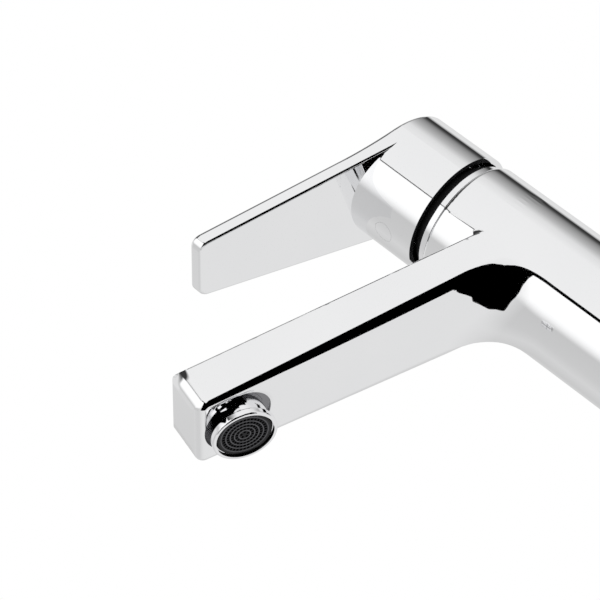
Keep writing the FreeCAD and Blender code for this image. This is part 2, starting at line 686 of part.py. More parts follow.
def make_cartridge():
    """Ceramic disc cartridge: foot, shell, seals and the fixed disc stay put; turret and pin turn with the
    handle; carrier and moving disc also slide as the stem tilts."""
    bore = "turret_radius + run_gap"
    groove = "cartridge_radius + slide_gap - o_ring_section"
    groove_low = "gallery_top + o_ring_section"
    groove_high = groove_low + " + o_ring_section + slide_gap * 2"
    neck = "cartridge_neck"
    outside = "cartridge_radius"
    turned_part("cartridge_housing", [("cartridge_inside", "disc_floor"), (outside, "disc_floor"),
                                      (outside, groove_low), (groove, groove_low), (groove, groove_high),
                                      (outside, groove_high), (outside, "nut_seat"), (neck, "nut_seat"),
                                      (neck, "cartridge_neck_top"), (bore, "cartridge_neck_top"),
                                      (bore, "housing_ceiling"), ("cartridge_inside", "housing_ceiling")])
    squeezed = groove + " + slide_gap / 2"
    middle = groove + " + o_ring_section / 2"
    low = groove_low + " + slide_gap"
    high = groove_high + " - slide_gap"
    side = "o_ring_section / 4"
    turned_part("cartridge_o_ring", [(squeezed, "%s + %s" % (low, side)), (middle, low),
                                     (outside, "%s + %s" % (low, side)), (outside, "%s - %s" % (high, side)),
                                     (middle, high), (squeezed, "%s - %s" % (high, side))])

    foot = turned_part("cartridge_base", [("0", "chamber_floor"), ("cartridge_radius", "chamber_floor"),
                                          ("cartridge_radius", "disc_floor"), ("0", "disc_floor")])
    sides = ("-port_spacing / 2", "port_spacing / 2")
    ports = sketch_on(foot, "XY_Plane", shift=(0, 0, "chamber_floor"))
    for side in sides:
        circle(ports, side, "-port_setback", "port_diameter")
    pocket(foot, ports)
    seats = sketch_on(foot, "XY_Plane", shift=(0, 0, "chamber_floor"))
    for side in sides:
        circle(seats, side, "-port_setback", "port_diameter + port_seal_width * 2")
    pocket(foot, seats, "cartridge_base_height / 2", reverse=True)
    outlet = sketch_on(foot, "XY_Plane", shift=(0, 0, "chamber_floor"))
    rectangle(outlet, "-port_diameter", "-cartridge_diameter", "port_diameter", "-outlet_setback")
    pocket(foot, outlet)
    pegs = sketch_on(foot, "XY_Plane", shift=(0, 0, "chamber_floor"))
    for side in sides:
        circle(pegs, side, "peg_setback", "peg_diameter")
    pad(foot, pegs, "peg_length", reverse=True)

    rings = []
    for side in sides:
        skin = doc.addObject("Part::Cylinder", "seal_skin")
        bind(skin, Radius="port_diameter / 2 + port_seal_width - slide_gap",
             Height="cartridge_base_height / 2 - slide_gap")
        hole = doc.addObject("Part::Cylinder", "seal_hole")
        bind(hole, Radius="port_diameter / 2", Height="cartridge_base_height")
        for item in (skin, hole):
            place(item, side, "-port_setback", "chamber_floor")
        seal = doc.addObject("Part::Cut", "seal")
        seal.Base = skin
        seal.Tool = hole
        rings.append(seal)
    seals = doc.addObject("Part::Compound", "seals")
    seals.Links = rings
    keep(seals, "port_seals")

    fixed = turned_part("fixed_disc", [("0", "disc_floor"), ("fixed_disc_radius", "disc_floor"),
                                       ("fixed_disc_radius", "disc_face"), ("0", "disc_face")])
    holes = sketch_on(fixed, "XY_Plane", shift=(0, 0, "disc_face"))
    for side in sides:
        circle(holes, side, "-port_setback", "port_diameter")
    circle(holes, 0, "-outlet_setback", "port_diameter")
    pocket(fixed, holes)

    film = "disc_face + run_gap"
    edge = "moving_disc_radius"
    moving = turned_part("moving_disc", [("0", film), (edge, film), (edge, "carrier_floor"),
                                         ("0", "carrier_floor")])
    mixing = sketch_on(moving, "XY_Plane", shift=(0, 0, "disc_face"))
    circle(mixing, 0, "-moving_disc_radius * 0.4", "port_spacing * 0.8")
    pocket(moving, mixing, "disc_height / 2", reverse=True)
    place(moving, 0, "ball_shift", 0)

    grip = "stem_ball_diameter / 2 + slide_gap"
    boss = "carrier_boss_diameter / 2"
    boss_top = "carrier_top + carrier_boss_height"
    socket_floor = "pivot_height - stem_ball_drop - stem_ball_diameter / 2 - loose_gap"
    carrier = turned_part("disc_carrier", [("0", "carrier_floor"), (edge, "carrier_floor"),
                                           (edge, "carrier_top"), (boss, "carrier_top"), (boss, boss_top),
                                           (grip, boss_top), (grip, socket_floor), ("0", socket_floor)])
    place(carrier, 0, "ball_shift", 0)

    flange = "turret_flange_radius"
    turret = turned_part("turret", [("0", "turret_floor"), (flange, "turret_floor"),
                                    (flange, "turret_flange_top"), ("turret_radius", "turret_flange_top"),
                                    ("turret_radius", "turret_top"), ("0", "turret_top")])
    swing = sketch_on(turret, "XY_Plane", shift=(0, 0, "turret_floor"))
    wide = "stem_width / 2 + slide_gap"
    long = "(turret_top - pivot_height) * tan(stem_lean) + stem_width / 2 / cos(stem_lean) + loose_gap"
    rectangle(swing, "-(%s)" % wide, "-(%s)" % long, wide, long)
    pocket(turret, swing)
    guide = sketch_on(turret, "XY_Plane", shift=(0, 0, "turret_floor"))
    wide = boss + " + slide_gap"
    long = boss + " + ball_shift + loose_gap"
    rectangle(guide, "-(%s)" % wide, "-(%s)" % long, wide, long)
    pocket(turret, guide, "carrier_boss_height + loose_gap", reverse=True)
    pin_hole = sketch_on(turret, "YZ_Plane")
    circle(pin_hole, 0, "pivot_height", "pin_diameter + run_gap * 2")
    pocket(turret, pin_hole)

    pin = doc.addObject("Part::Cylinder", "pin")
    bind(pin, Radius="pin_diameter / 2", Height="pin_length")
    place(pin, "-pin_length / 2", 0, "pivot_height", ((0, 1, 0), "90"))
    keep(pin, "pivot_pin")

    ring_bore = "cartridge_neck + slide_gap"
    ring_floor = "column_height + nut_hex_height"
    turned_part("limit_ring", [(ring_bore, ring_floor), ("cartridge_neck + limit_ring_width", ring_floor),
                               ("cartridge_neck + limit_ring_width", ring_floor + " + limit_ring_height"),
                               (ring_bore, ring_floor + " + limit_ring_height")])


def make_lever_stem():
    """Square stem on the pivot pin with a ball finger below; it leans towards the spout when closed."""
    stem = new_body("lever_stem")
    square = sketch_on(stem, "XY_Plane", shift=(0, 0, "-stem_width / 2"))
    rectangle(square, "-stem_width / 2", "-stem_width / 2", "stem_width / 2", "stem_width / 2")
    pad(stem, square, "stem_above_pin + stem_width / 2")
    finger = sketch_on(stem, "XZ_Plane")
    reach = "stem_ball_diameter / 2"
    thin = "stem_ball_diameter * 0.4"
    neck = "-stem_ball_drop + sqrt((%s) ^ 2 - (%s) ^ 2)" % (reach, thin)
    outline(finger, [("0", "-stem_width / 4"), ("0", "-stem_ball_drop - " + reach),
                     (reach, "-stem_ball_drop"), (thin, neck), (thin, "-stem_width / 4")])
    turned(stem, finger)
    hole = sketch_on(stem, "YZ_Plane")
    circle(hole, 0, 0, "pin_diameter + run_gap * 2")
    pocket(stem, hole)
    place(stem, 0, 0, "pivot_height", ((1, 0, 0), "stem_lean"))


def make_aerator():
    """Aerator under the spout's tip: each piece is drawn upright, mouth at z = 0, then tilted into place."""
    def seat(piece):
        return place(piece, 0, "-aerator_reach", "aerator_height", ((1, 0, 0), "-aerator_tilt"))

    neck = "neck_radius"
    bore = "aerator_bore"
    mouth = "mouth_radius"
    flange = "flange_radius"
    shell = turned_part("aerator_housing", [(mouth, "0"), (flange, "0"), (flange, "aerator_flange_height"),
                                            (neck, "aerator_flange_height"), (neck, "housing_top"),
                                            (bore, "housing_top"), (bore, "aerator_mouth_depth"),
                                            (mouth, "aerator_mouth_depth")])
    rounded(shell, "aerator_flange_round", lambda spot: near(math.hypot(spot.x, spot.y), size(flange))
            and (near(spot.z, 0) or near(spot.z, size("aerator_flange_height"))))
    flats = sketch_on(shell, "XY_Plane", shift=(0, 0, "aerator_flange_height + aerator_flange_round"),
                      spin="-aerator_flat_turn")
    for sign in ("", "-"):
        rectangle(flats, sign + "(neck_radius - aerator_flat_depth)", "-flange_radius",
                  sign + "flange_radius * 2", "flange_radius")
    pocket(shell, flats, "aerator_flat_height", reverse=True)
    seat(shell)

    seat(turned_part("aerator_seal", [(bore, "housing_top"), (neck, "housing_top"),
                                      (neck, "housing_top + aerator_seal_height - slide_gap"),
                                      (bore, "housing_top + aerator_seal_height - slide_gap")]))

    body_radius = "aerator_bore - run_gap"
    step = "aerator_mouth_depth"
    grille = turned_part("aerator_insert", [("0", "insert_recess"), ("insert_radius", "insert_recess"),
                                            ("insert_radius", step), (body_radius, step),
                                            (body_radius, "insert_top"), ("0", "insert_top")])
    for reach, count in GRILLE_RINGS:
        hole = sketch_on(grille, "XY_Plane", shift=(0, 0, "insert_recess"))
        middle = "insert_radius * " + reach
        rectangle(hole, middle + " - grille_slot / 2", "-grille_slot * 0.45", middle + " + grille_slot / 2",
                  "grille_slot * 0.45")
        cut = pocket(grille, hole)
        doc.recompute()
        pattern = grille.newObject("PartDesign::PolarPattern", "ring")
        pattern.Originals = [cut]
        pattern.Axis = (hole, ["N_Axis"])
        pattern.Angle = 360
        pattern.Occurrences = count
        grille.Tip = pattern
    seat(grille)

    throat = "insert_radius / 4"
    funnel = "insert_radius * 0.6"
    seat(turned_part("aerator_regulator", [(throat, "insert_top"), (body_radius, "insert_top"),
                                           (body_radius, "regulator_top"), (funnel, "regulator_top")]))

    rim = "insert_radius * 0.72"
    crown = "insert_radius / 2"
    wall = "strainer_height / 6"
    rim_top = "regulator_top + " + wall
    crown_top = "regulator_top + strainer_height"
    roof = "%s - %s" % (crown_top, wall)
    sieve = turned_part("aerator_strainer", [(rim, "regulator_top"), (body_radius, "regulator_top"),
                                             (body_radius, rim_top), ("%s + %s" % (rim, wall), rim_top),
                                             (crown, crown_top), ("0", crown_top), ("0", roof),
                                             ("%s - %s" % (crown, wall), roof)])
    mesh = sketch_on(sieve, "XY_Plane", shift=(0, 0, "regulator_top"))
    rectangle(mesh, crown + " * 0.4", "-strainer_height / 8", crown + " * 0.8", "strainer_height / 8")
    cut = pocket(sieve, mesh)
    doc.recompute()
    pattern = sieve.newObject("PartDesign::PolarPattern", "ring")
    pattern.Originals = [cut]
    pattern.Axis = (mesh, ["N_Axis"])
    pattern.Angle = 360
    pattern.Occurrences = 6
    sieve.Tip = pattern
    seat(sieve)


def make_deck_fixing():
    """Seal ring under the column, and the stud, horseshoe washer, horseshoe plate and nut below the deck."""
    inner = "base_seal_inside + slide_gap"
    outer = "base_seal_inside + base_seal_section - slide_gap"
    top = "base_seal_section"
    turned_part("base_seal", [(inner, "0"), (outer, "0"), (outer, top), (inner, top)])
    stud = doc.addObject("Part::Cylinder", "stud")
    bind(stud, Radius="stud_diameter / 2", Height="stud_length")
    place(stud, 0, "stud_offset", "stud_top - stud_length")
    keep(stud, "fixing_stud")

    for label, floor, height in (("clamp_washer", "clamp_middle", "clamp_washer_height"),
                                 ("clamp_plate", "clamp_bottom", "clamp_plate_height")):
        shoe = new_body(label)
        plan = sketch_on(shoe, "XY_Plane")
        circle(plan, 0, 0, "clamp_radius * 2")
        pad(shoe, plan, height)
        slot = sketch_on(shoe, "XY_Plane")
        half = "clamp_slot_width / 2"
        rectangle(slot, "-" + half, "-clamp_radius * 1.2", half, "clamp_slot_end")
        pocket(shoe, slot)
        hole = sketch_on(shoe, "XY_Plane")
        circle(hole, 0, "stud_offset", "stud_diameter + loose_gap * 2")
        pocket(shoe, hole)
        rounded(shoe, "clamp_slot_end", lambda spot: near(abs(spot.x), size("clamp_slot_width / 2"))
                and near(spot.y, size("clamp_slot_end")))
        place(shoe, 0, 0, floor)

    nut = new_body("fixing_nut")
    flats = sketch_on(nut, "XY_Plane")
    hexagon(flats, "fixing_nut_hex")
    pad(nut, flats, "fixing_nut_height")
    thread = sketch_on(nut, "XY_Plane")
    circle(thread, 0, 0, "stud_diameter + thread_gap * 2")
    pocket(nut, thread)
    place(nut, 0, "stud_offset", "clamp_bottom - fixing_nut_height")


make_faucet_body()
make_lever_handle()
make_screw_and_cover()
make_trim_ring()
make_retaining_nut()
make_cartridge()
make_lever_stem()
make_aerator()
make_deck_fixing()

doc.recompute()
os.makedirs("parts", exist_ok=True)
for item in doc.Objects:
    if any(word in item.State for word in ("Invalid", "Error")):
        raise RuntimeError("%s failed: %s" % (item.Label, item.State))
for part in sub_parts:
    if part.Shape.isNull() or not part.Shape.isValid():
        raise RuntimeError(part.Label + " has no valid shape")
for part in sub_parts:
    part.Shape.exportStep("parts/%s.step" % part.Label)
    print("%-20s %2d solid(s) %10.1f mm3" % (part.Label, len(part.Shape.Solids), part.Shape.Volume))
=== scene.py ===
import math

import bmesh
import bpy
import numpy as np
from mathutils import Matrix, Vector


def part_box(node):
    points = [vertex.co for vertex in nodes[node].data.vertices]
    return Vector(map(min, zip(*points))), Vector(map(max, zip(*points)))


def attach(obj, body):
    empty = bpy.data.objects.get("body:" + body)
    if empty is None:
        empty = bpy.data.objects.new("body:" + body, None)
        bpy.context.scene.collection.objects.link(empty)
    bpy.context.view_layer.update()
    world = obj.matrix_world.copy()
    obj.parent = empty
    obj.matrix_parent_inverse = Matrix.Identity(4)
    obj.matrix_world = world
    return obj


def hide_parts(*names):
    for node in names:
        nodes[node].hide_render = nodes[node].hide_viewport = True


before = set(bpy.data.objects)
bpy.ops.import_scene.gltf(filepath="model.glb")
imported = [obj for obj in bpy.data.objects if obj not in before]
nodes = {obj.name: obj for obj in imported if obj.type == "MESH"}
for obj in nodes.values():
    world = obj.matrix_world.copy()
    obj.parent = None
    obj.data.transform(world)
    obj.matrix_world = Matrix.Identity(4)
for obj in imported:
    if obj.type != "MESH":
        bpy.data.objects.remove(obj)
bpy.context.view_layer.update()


# Column and spout: one brass casting, ground, polished and chromed to a mirror, that stands on the deck.
# A finer copy of its mesh is shaded square to the true surface, but the front's upright edges are shaded
# rounder than they are, by front_side_extra. Sizes are in millimetres.
column_radius = 23.5
column_foot = 0.5
column_shoulder = 92.9
spout_rise = math.radians(13.7)
spout_height = 75.5
spout_root = 6.0
spout_length = 131.2
spout_depth = 17.0
root_half_width = 20.0
tip_half_width = 14.7
root_rounding = 8.0
tip_rounding = 2.6
front_rounding = 3.0
front_side_extra = 2.0
front_start = 126.0
top_rounding = 5.0
blend_radius = 27.0
blend_end = 60.0
spout_back = -4.0
skin_reach = 5.0
spout_fit = 0.3
column_fit = 0.1
under_top = -1.0
over_top = 3.0
front_way = np.array((0.0, -math.cos(spout_rise), math.sin(spout_rise)))
top_way = np.array((0.0, math.sin(spout_rise), math.cos(spout_rise)))
aerator_mouth = np.array((0.0, -120.0, 80.1))
aerator_tilt = math.radians(24.0)
aerator_axis = np.array((0.0, math.sin(aerator_tilt), math.cos(aerator_tilt)))
socket_radius = 12.4
turned_stray = 14.0


class Flow:
    """A socket in a node tree; sums, differences and products of flows add Math nodes."""

    def __init__(self, tree, socket):
        self.tree = tree
        self.socket = socket

    def node(self, kind, settings=None, out=0, **sockets):
        """Add a node: settings first, then its sockets' values or links, by name or as i0, i1."""
        made = self.tree.nodes.new(kind)
        for name, setting in (settings or {}).items():
            if name == "stops":
                elements = made.color_ramp.elements
                while len(elements) < len(setting):
                    elements.new(0.5)
                for element, (spot, shade) in zip(elements, setting):
                    element.position = spot
                    element.color = (shade, shade, shade, 1.0) if isinstance(shade, float) else (*shade, 1.0)
            else:
                setattr(made, name, setting)
        for name, content in sockets.items():
            key = int(name[1:]) if name[0] == "i" and name[1:].isdigit() else name.replace("_", " ")
            socket = made.inputs[key]
            if isinstance(content, Flow):
                self.tree.links.new(content.socket, socket)
            else:
                socket.default_value = content
        return Flow(self.tree, made.outputs[out] if len(made.outputs) else None)

    def math(self, operation, first, second=0.0):
        """Add a Math node on two values."""
        return self.node("ShaderNodeMath", {"operation": operation}, i0=first, i1=second)

    def __add__(self, other):
        return self.math("ADD", self, other)

    __radd__ = __add__

    def __sub__(self, other):
        return self.math("SUBTRACT", self, other)

    def __rsub__(self, other):
        return self.math("SUBTRACT", other, self)

    def __mul__(self, other):
        return self.math("MULTIPLY", self, other)

    __rmul__ = __mul__


def finish_named(name):
    """A new material with an empty tree, and a flow to add its nodes from."""
    finish = bpy.data.materials.new(name)
    finish.use_nodes = True
    finish.node_tree.nodes.clear()
    return finish, Flow(finish.node_tree, None)


def give(finish, *names):
    """Put a finish on nodes in place of what they came with."""
    for name in names:
        slots = nodes[name].data.materials
        slots.clear()
        slots.append(finish)


def mixed(flow, share, first, second):
    """A colour between two, each a flow or plain red, green and blue."""
    ends = [colour if isinstance(colour, Flow) else (*colour, 1.0) for colour in (first, second)]
    return flow.node("ShaderNodeMix", {"data_type": "RGBA"}, out=2, Factor=share, i6=ends[0], i7=ends[1])


def chrome_plate(name, painted_shade=None):
    """Bright chromium on polished metal, with a faint polishing ripple and a haze of wipe marks; the function
    passed last gives each spot's share of painted shade, which darkens and roughens it."""
    ripple_height = 0.0000015
    shade_roughness = 0.12
    finish, flow = finish_named(name)
    place = flow.node("ShaderNodeTexCoord", out="Object")
    swell = flow.node("ShaderNodeTexNoise", Vector=place, Scale=70.0, Detail=1.0)
    wipes = flow.node("ShaderNodeTexNoise", Vector=place, Scale=420.0, Detail=4.0)
    film = flow.node("ShaderNodeTexNoise", Vector=place, Scale=38.0, Detail=3.0)
    bump = flow.node("ShaderNodeBump", Strength=1.0, Distance=ripple_height, Height=swell)
    tint = mixed(flow, film, (0.90, 0.905, 0.915), (0.94, 0.94, 0.945))
    roughness = 0.06 * wipes * film + 0.025
    if painted_shade:
        share = painted_shade(flow, place)
        tint = mixed(flow, share, tint, (0.24, 0.24, 0.25))
        roughness = roughness + share * shade_roughness
    shader = flow.node("ShaderNodeBsdfPrincipled", Base_Color=tint, Metallic=1.0, Roughness=roughness,
                       Normal=bump)
    flow.node("ShaderNodeOutputMaterial", Surface=shader)
    return finish


def unit(ways):
    """Directions brought to length one; a direction of no length stays so."""
    return ways / (np.linalg.norm(ways, axis=1)[:, None] + 1e-9)


def degrees_between(first, second):
    """Angles between pairs of unit directions."""
    return np.degrees(np.arccos(np.clip((first * second).sum(1), -1, 1)))


def beside_spout(points):
    """Distance outside the spout's sides, lower rounding and underside, above its top plane, and along it."""
    across, deep, high = points.T
    raised = high - spout_height
    along = raised * math.sin(spout_rise) - deep * math.cos(spout_rise)
    above = raised * math.cos(spout_rise) + deep * math.sin(spout_rise)
    share = (along - spout_root) / (spout_length - spout_root)
    rounding = root_rounding + (tip_rounding - root_rounding) * share
    sideways = np.abs(across) - root_half_width + (root_half_width - tip_half_width) * share + rounding
    under = rounding - spout_depth - above
    outside = np.hypot(np.maximum(sideways, 0), np.maximum(under, 0))
    return outside + np.minimum(np.maximum(sideways, under), 0) - rounding, above, along


def casting_normals(points):
    """Directions square to the column, the spout and the rolling-ball blend between them, the distance off
    that skin, and the places above and along the spout."""
    probe = 0.01
    from_column = np.hypot(points[:, 0], points[:, 1]) - column_radius
    from_spout, above, along = beside_spout(points)
    column_way = unit(points * (1.0, 1.0, 0.0))
    spout_way = unit(np.stack([beside_spout(points + shift)[0] - beside_spout(points - shift)[0]
                               for shift in np.eye(3) * probe], 1))
    lean = (column_way * spout_way).sum(1)
    column_side = blend_radius - from_column
    spout_side = blend_radius - from_spout
    column_part = np.maximum(column_side - lean * spout_side, 0)
    spout_part = np.maximum(spout_side - lean * column_side, 0)
    way = unit(column_part[:, None] * column_way + spout_part[:, None] * spout_way)
    reach = np.sqrt((column_side ** 2 + spout_side ** 2 - 2 * lean * column_side * spout_side)
                    / np.maximum(1 - lean ** 2, 1e-6))
    between = (column_part > 0) & (spout_part > 0)
    off_skin = np.where(between, blend_radius - reach, np.minimum(from_column, from_spout))
    behind = points[:, 1] > spout_back
    way = np.where(behind[:, None], column_way, way)
    return way, np.where(behind, from_column, off_skin), above, along


def refined(name, fineness):
    """A copy of a node's mesh, cut up to the edge length in metres that fineness gives at each spot, and
    smooth but for real edges."""
    cutting_rounds = 6
    turning_rounds = 3
    weld = 0.000002
    collapse = 0.000001
    sliver_area = 0.0000000001
    real_edge = math.radians(25)
    work = bmesh.new()
    work.from_mesh(nodes[name].data)
    bmesh.ops.remove_doubles(work, verts=work.verts, dist=weld)
    for _ in range(cutting_rounds):
        longest = fineness(np.array([vert.co for vert in work.verts]) * 1000)
        work.verts.index_update()
        long_edges = [edge for edge in work.edges
                      if edge.calc_length() > max(longest[edge.verts[0].index], longest[edge.verts[1].index])]
        bmesh.ops.subdivide_edges(work, edges=long_edges, cuts=1)
        bmesh.ops.triangulate(work, faces=[face for face in work.faces if len(face.verts) > 3])
    bmesh.ops.dissolve_degenerate(work, dist=collapse, edges=work.edges)
    bmesh.ops.recalc_face_normals(work, faces=work.faces)
    bmesh.ops.triangulate(work, faces=[face for face in work.faces if len(face.verts) > 3])
    for _ in range(turning_rounds):
        slivers = [face for face in work.faces if face.calc_area() < sliver_area]
        bases = [max(face.edges, key=lambda edge: edge.calc_length()) for face in slivers]
        bmesh.ops.rotate_edges(work, edges=list(dict.fromkeys(bases)))
    mesh = bpy.data.meshes.new(name + "_skin")
    work.to_mesh(mesh)
    work.free()
    mesh.validate()
    mesh.shade_smooth()
    mesh.set_sharp_from_angle(angle=real_edge)
    return mesh


def corners(mesh):
    """Place in millimetres, shading direction and facet direction at each face corner of a triangle mesh."""
    places = np.zeros(len(mesh.vertices) * 3)
    mesh.vertices.foreach_get("co", places)
    spots = np.zeros(len(mesh.loops), int)
    mesh.loops.foreach_get("vertex_index", spots)
    ways = np.zeros(len(mesh.loops) * 3)
    mesh.corner_normals.foreach_get("vector", ways)
    flats = np.zeros(len(mesh.polygons) * 3)
    mesh.polygons.foreach_get("normal", flats)
    ways = np.nan_to_num(ways.reshape(-1, 3))
    flats = np.nan_to_num(np.repeat(flats.reshape(-1, 3), 3, axis=0))
    return places.reshape(-1, 3)[spots] * 1000, ways, flats


def turned_ways(places, flats):
    """Directions square to a surface turned about the aerator's axis, how many degrees the facets stray from
    them, and the distance from the axis."""
    arms = places - aerator_mouth
    arms = arms - (arms @ aerator_axis)[:, None] * aerator_axis
    outward = unit(arms)
    rise = np.clip(flats @ aerator_axis, -1, 1)
    side = np.where((flats * outward).sum(1) < 0, -1.0, 1.0) * np.sqrt(1 - rise ** 2)
    ways = rise[:, None] * aerator_axis + side[:, None] * outward
    return ways, degrees_between(ways, flats), np.linalg.norm(arms, axis=1)


def body_fineness(spots):
    """Longest edge in metres: short on the skin, shortest at the spout's front corners, any length inside."""
    tip_start = 122.0
    corner_start = 8.0
    skin_edge = 0.003
    tip_edge = 0.002
    corner_edge = 0.0008
    any_edge = 1.0
    _, off_skin, _, along = casting_normals(spots)
    longest = np.where(np.abs(off_skin) < skin_reach, skin_edge, any_edge)
    at_tip = np.where(np.abs(spots[:, 0]) > corner_start, corner_edge, tip_edge)
    return np.where(along > tip_start, at_tip, longest)


body_mesh = refined("faucet_body", body_fineness)
places, corner_ways, flats = corners(body_mesh)
true_ways, off_skin, above, along = casting_normals(places)
swing = degrees_between(true_ways, corner_ways)
swing_limit = 55.0
swing_fade = 10.0
small_facet = 0.00000002
least_length = 0.5
areas = np.zeros(len(body_mesh.polygons))
body_mesh.polygons.foreach_get("area", areas)
sliver = np.repeat(areas, 3) < small_facet
swing[sliver] = 0.0
tolerance = np.where(along < blend_end, skin_reach, spout_fit)
on_skin = (np.abs(off_skin) < tolerance) & (above < under_top) & (along < front_start)
on_column = (np.abs(off_skin) < column_fit) & (above > over_top)
within_column = (places[:, 2] > column_foot) & (places[:, 2] < column_shoulder)
agreement = np.clip((swing_limit - swing) / swing_fade, 0, 1)
trust = np.where((on_skin | on_column) & within_column, agreement, 0)
corner_ways = corner_ways + (true_ways - corner_ways) * trust[:, None]

rounding = front_rounding + front_side_extra * np.abs(true_ways[:, 0])
past_side = np.maximum(off_skin + rounding, 0)
past_front = np.maximum(along - spout_length + rounding, 0)
past_top = np.maximum(above + top_rounding, 0) * np.minimum(past_side, past_front) / top_rounding
front_ways = unit(past_side[:, None] * true_ways + past_front[:, None] * front_way
                  + past_top[:, None] * top_way)
front_fit = 1.3
front_top = -0.3
same_side = 0.6
off_front = np.minimum(np.abs(off_skin), np.abs(along - spout_length))
at_front = (along > front_start) & (above < front_top) & (off_front < front_fit)
at_front &= ((front_ways * flats).sum(1) > same_side) | sliver
corner_ways[at_front] = front_ways[at_front]

socket_ways, stray, radius = turned_ways(places, flats)
off_outside = (np.abs(off_skin) > spout_fit) | (swing > swing_limit)
in_socket = (radius < socket_radius) & (stray < turned_stray) & (above < under_top) & off_outside
corner_ways[in_socket] = socket_ways[in_socket]
lost = np.linalg.norm(corner_ways, axis=1) < least_length
corner_ways[lost] = true_ways[lost]
body_mesh.normals_split_custom_set(unit(corner_ways).tolist())
body_skin = bpy.data.objects.new("polished_body", body_mesh)
bpy.context.scene.collection.objects.link(body_skin)


def from_aerator(flow, place):
    """Each spot's offset from the middle of the aerator's mouth and distance from its axis, in metres."""
    mouth = tuple(aerator_mouth / 1000)
    axis = tuple(aerator_axis)
    offset = flow.node("ShaderNodeVectorMath", {"operation": "SUBTRACT"}, i0=place, i1=mouth)
    turned = flow.node("ShaderNodeVectorMath", {"operation": "CROSS_PRODUCT"}, i0=offset, i1=axis)
    return offset, flow.node("ShaderNodeVectorMath", {"operation": "LENGTH"}, out="Value", i0=turned)


def reach_along(flow, place, way):
    """How far each spot lies along a direction."""
    return flow.node("ShaderNodeVectorMath", {"operation": "DOT_PRODUCT"}, out="Value", i0=place,
                     i1=tuple(way))


def socket_shade(flow, place):
    """Share of painted shade in the aerator's socket, darker with depth above the spout's lower face."""
    socket_depth = 0.012
    wall_margin = 0.05
    lower_face = (spout_height * math.cos(spout_rise) - spout_depth) / 1000
    _, from_axis = from_aerator(flow, place)
    depth = reach_along(flow, place, top_way) - lower_face
    near_axis = flow.math("LESS_THAN", from_axis, (socket_radius + wall_margin) / 1000)
    inside = near_axis * flow.math("LESS_THAN", depth, socket_depth)
    return inside * flow.node("ShaderNodeMapRange", Value=depth, i1=0.0005, i2=0.0014)


body_mesh.materials.clear()
# The aerator's socket in the casting is darkened with depth: painted shade in the recess.
body_mesh.materials.append(chrome_plate("plated_casting", socket_shade))
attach(body_skin, "fixed_group")
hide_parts("faucet_body")


# Lever handle: zinc casting with the cap and the lever plate in one, polished and chromed like the body.
# It drops over the cartridge stem; the button on its front covers the set screw that clamps it.
give(chrome_plate("polished_chrome"), "lever_handle", "screw_cover")


# Trim ring between column and cap: turned brass with a chromed collar that shows as a bright line; the dome
# above it, hidden in the cap's mouth, is painted near-black as painted shade, so that the gap reads dark.
collar_tint = (0.92, 0.92, 0.93)
collar_height = 0.0021
collar_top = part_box("dome_ring")[0][2] + collar_height
ring_finish, flow = finish_named("chromed_collar_shade_painted_dome")
place = flow.node("ShaderNodeTexCoord", out="Object")
rise = flow.node("ShaderNodeSeparateXYZ", out="Z", Vector=place)
on_dome = flow.math("GREATER_THAN", rise, collar_top)
dust_and_shade_mottle = flow.node("ShaderNodeTexNoise", Vector=place, Scale=600.0, Detail=3.0)
# The dome's colour is painted shade: near-black with a faint mottle, dull and barely specular.
painted_gap_shade = mixed(flow, dust_and_shade_mottle, (0.008, 0.008, 0.009), (0.02, 0.02, 0.021))
shade = mixed(flow, on_dome, collar_tint, painted_gap_shade)
shader = flow.node("ShaderNodeBsdfPrincipled", Base_Color=shade, Metallic=1.0 - on_dome,
                   Roughness=on_dome * 0.8 + dust_and_shade_mottle * 0.04 + 0.03, Specular_IOR_Level=0.05)
flow.node("ShaderNodeOutputMaterial", Surface=shader)
give(ring_finish, "dome_ring")


# Aerator shell: turned brass, chromed, screwed into the spout with a washer on top. The lathe leaves it truly
# round, so its facets are shaded square to the turned surface. The mouth of its bore is painted black as
# painted shade.
bore_depth = 0.0024
shell_edge = 0.002
shell_mesh = refined("aerator_housing", lambda spots: np.full(len(spots), shell_edge))
places, _, flats = corners(shell_mesh)
shell_ways, stray, _ = turned_ways(places, flats)
is_turned = (stray < turned_stray) | (np.linalg.norm(flats, axis=1) < least_length)
shell_mesh.normals_split_custom_set(np.where(is_turned[:, None], shell_ways, flats).tolist())
shell_skin = bpy.data.objects.new("turned_aerator_shell", shell_mesh)
bpy.context.scene.collection.objects.link(shell_skin)
plated_shell, flow = finish_named("chromed_shell_shade_painted_bore")
place = flow.node("ShaderNodeTexCoord", out="Object")
offset, from_axis = from_aerator(flow, place)
tarnish_and_shade_edge = flow.node("ShaderNodeTexNoise", Vector=place, Scale=900.0, Detail=3.0)
# Within the bore's radius and depth the shell is painted black and dull: painted shade in the mouth.
outside = flow.node("ShaderNodeMapRange", Value=from_axis + tarnish_and_shade_edge * 0.0001, i1=0.00985, i2=0.00995)
above_bore = flow.math("GREATER_THAN", reach_along(flow, offset, aerator_axis), bore_depth)
unshaded_chrome = flow.math("MAXIMUM", outside, above_bore)
shade = mixed(flow, unshaded_chrome, (0.006, 0.006, 0.006), collar_tint)
shader = flow.node("ShaderNodeBsdfPrincipled", Base_Color=shade, Metallic=unshaded_chrome, Specular_IOR_Level=0.1,
                   Roughness=0.6 - unshaded_chrome * 0.57 + tarnish_and_shade_edge * 0.02)
flow.node("ShaderNodeOutputMaterial", Surface=shader)
shell_mesh.materials.clear()
shell_mesh.materials.append(plated_shell)
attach(shell_skin, "fixed_group")
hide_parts("aerator_housing")


# Aerator insert and strainer: dark grey plastic, injection moulded and slightly glossy from the mould. They
# stack in the shell. The ribs between the insert's rings of holes carry a painted highlight on their crests,
# and the insert's rim is painted near-black as painted shade.
mould_grain = 0.00002
pore_scale = 2600.0


